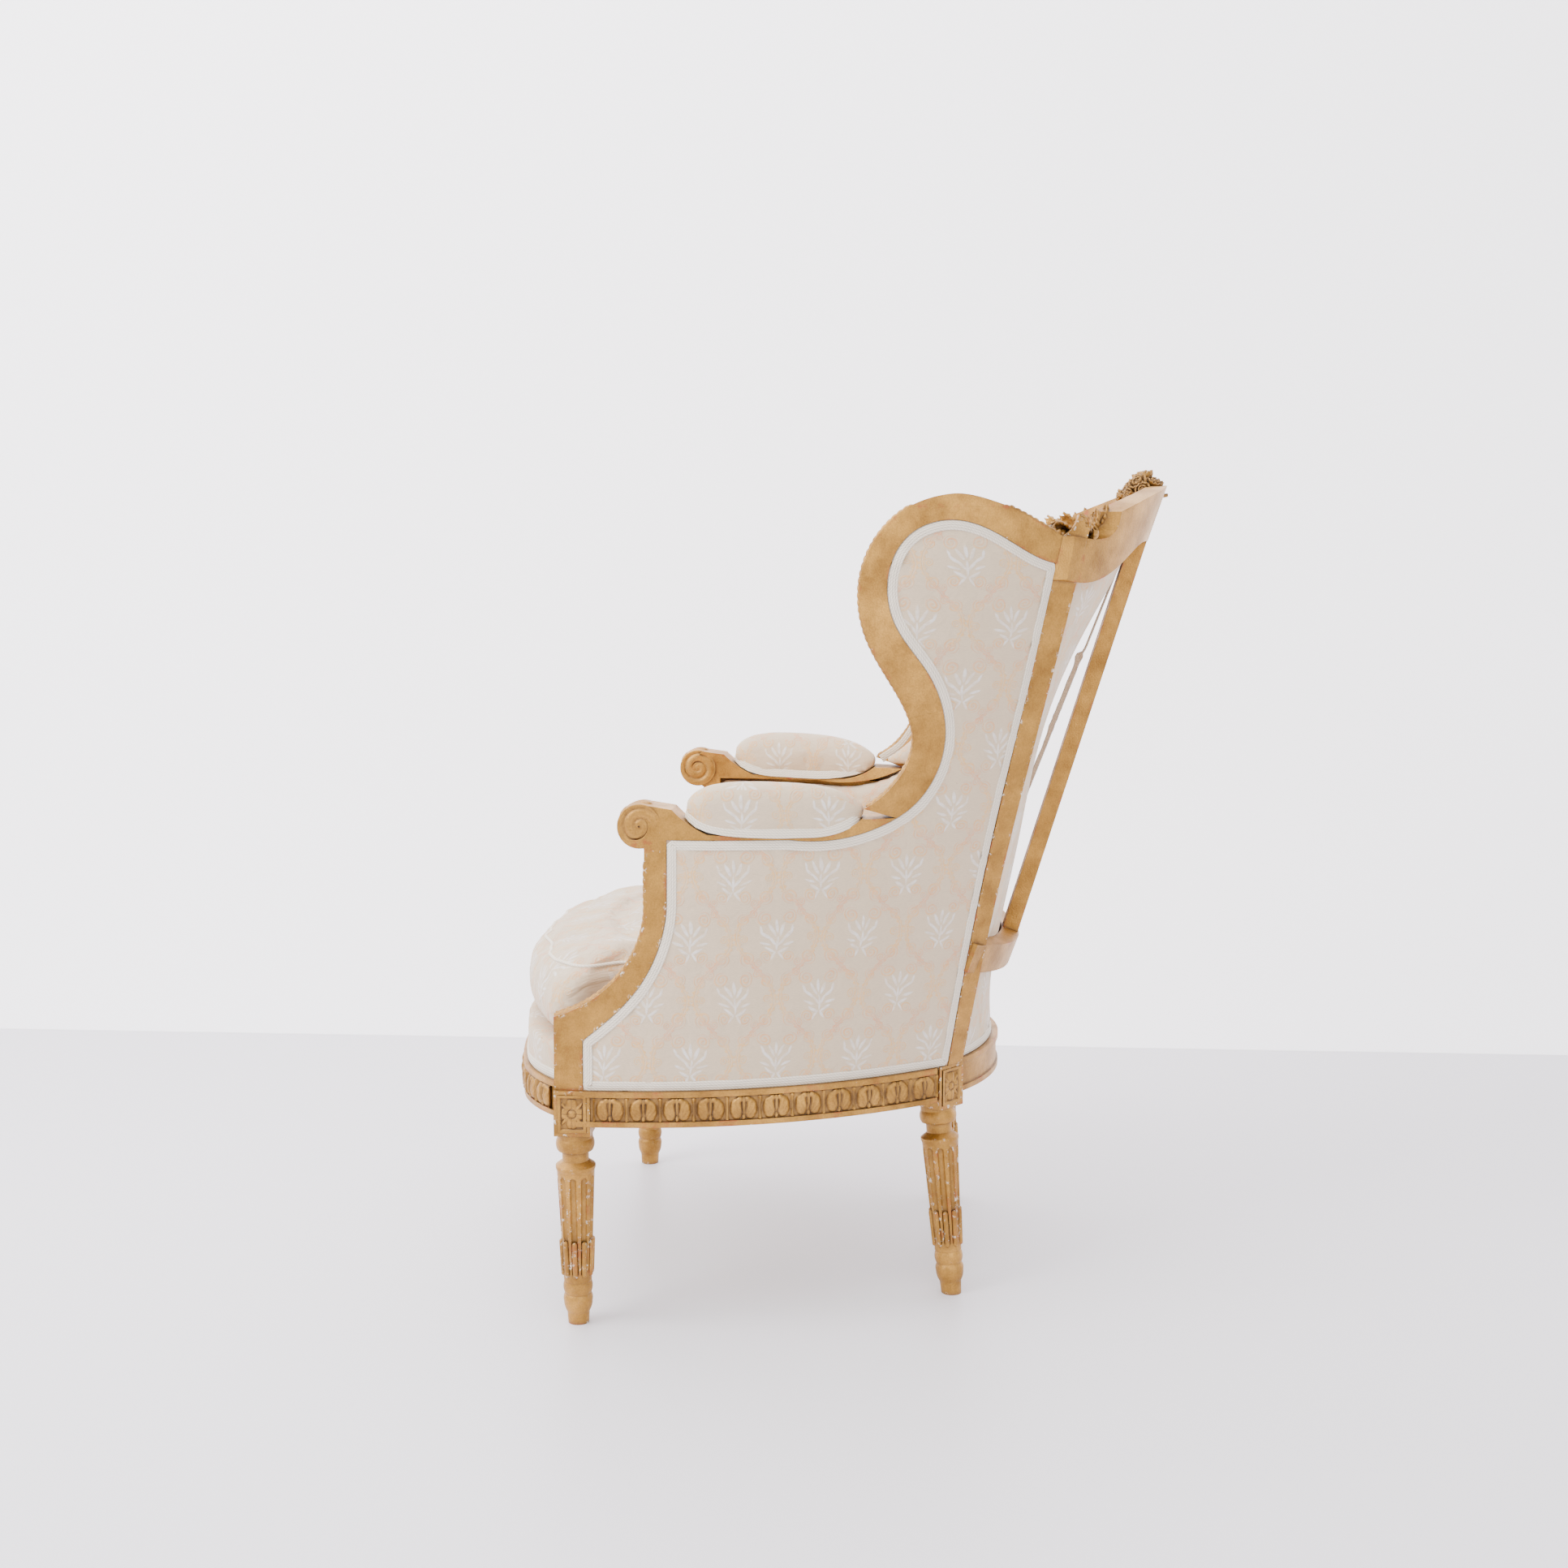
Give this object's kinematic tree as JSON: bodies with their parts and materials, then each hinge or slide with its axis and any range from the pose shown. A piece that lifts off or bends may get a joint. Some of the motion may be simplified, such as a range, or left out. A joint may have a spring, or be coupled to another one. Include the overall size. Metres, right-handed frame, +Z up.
{
  "type": "bergere chair",
  "caption": "Winged armchair with a carved gilt frame, closed padded sides, a barrel back, fluted legs and a loose seat cushion.",
  "frame": {"origin": "on the floor, in the middle of the chair's bounding box", "axes": "+Z up, the sitter faces -Y, +X is the sitter's left"},
  "size_m": [0.7024, 0.8255, 1.021],
  "materials": {
    "gilded_beech": "carved beech, gessoed, matte gold leaf, rubbed at the edges",
    "bare_beech": "bare beech, darkened",
    "damask": "woven cream damask over padding",
    "cushion_damask": "woven cream damask, feather filled",
    "jute_webbing": "woven jute webbing",
    "jute_hessian": "loosely woven jute",
    "spring_wire": "drawn steel wire",
    "horsehair": "curled hair"
  },
  "bodies": {
    "chair": {"arm_pad_left": "damask", "arm_pad_right": "damask", "arm_support_left": "gilded_beech", "arm_support_right": "gilded_beech", "armrest_left": "gilded_beech", "armrest_right": "gilded_beech", "back_upright": "gilded_beech", "back_webbing": "jute_webbing", "corner_blocks": "bare_beech", "crest_bouquet": "gilded_beech", "crest_rail": "gilded_beech", "front_leg_left": "gilded_beech", "front_leg_right": "gilded_beech", "front_seat_rail": "gilded_beech", "inner_arm_pad_left": "damask", "inner_arm_pad_right": "damask", "inner_back_pad": "damask", "inner_wing_pad_left": "damask", "inner_wing_pad_right": "damask", "lower_back_cover": "damask", "lower_back_rail": "gilded_beech", "outer_back_cover": "damask", "outer_side_cover_left": "damask", "outer_side_cover_right": "damask", "rear_leg_and_stile_left": "gilded_beech", "rear_leg_and_stile_right": "gilded_beech", "rear_seat_rail": "gilded_beech", "seat_cover": "damask", "seat_springs": "spring_wire", "seat_stuffing": "horsehair", "seat_webbing": "jute_webbing", "side_seat_rail_left": "gilded_beech", "side_seat_rail_right": "gilded_beech", "spring_hessian": "jute_hessian", "tacking_rail_left": "bare_beech", "tacking_rail_right": "bare_beech", "wing_foot_left": "gilded_beech", "wing_foot_right": "gilded_beech", "wing_frame_left": "gilded_beech", "wing_frame_right": "gilded_beech"},
    "cushion": {"seat_cushion": "cushion_damask"}
  },
  "joints": [
    {"name": "cushion_lift", "type": "slide", "parent": "chair", "child": "cushion", "axis": [0, 0, 1], "range_m": [0, 0.35]}
  ]
}
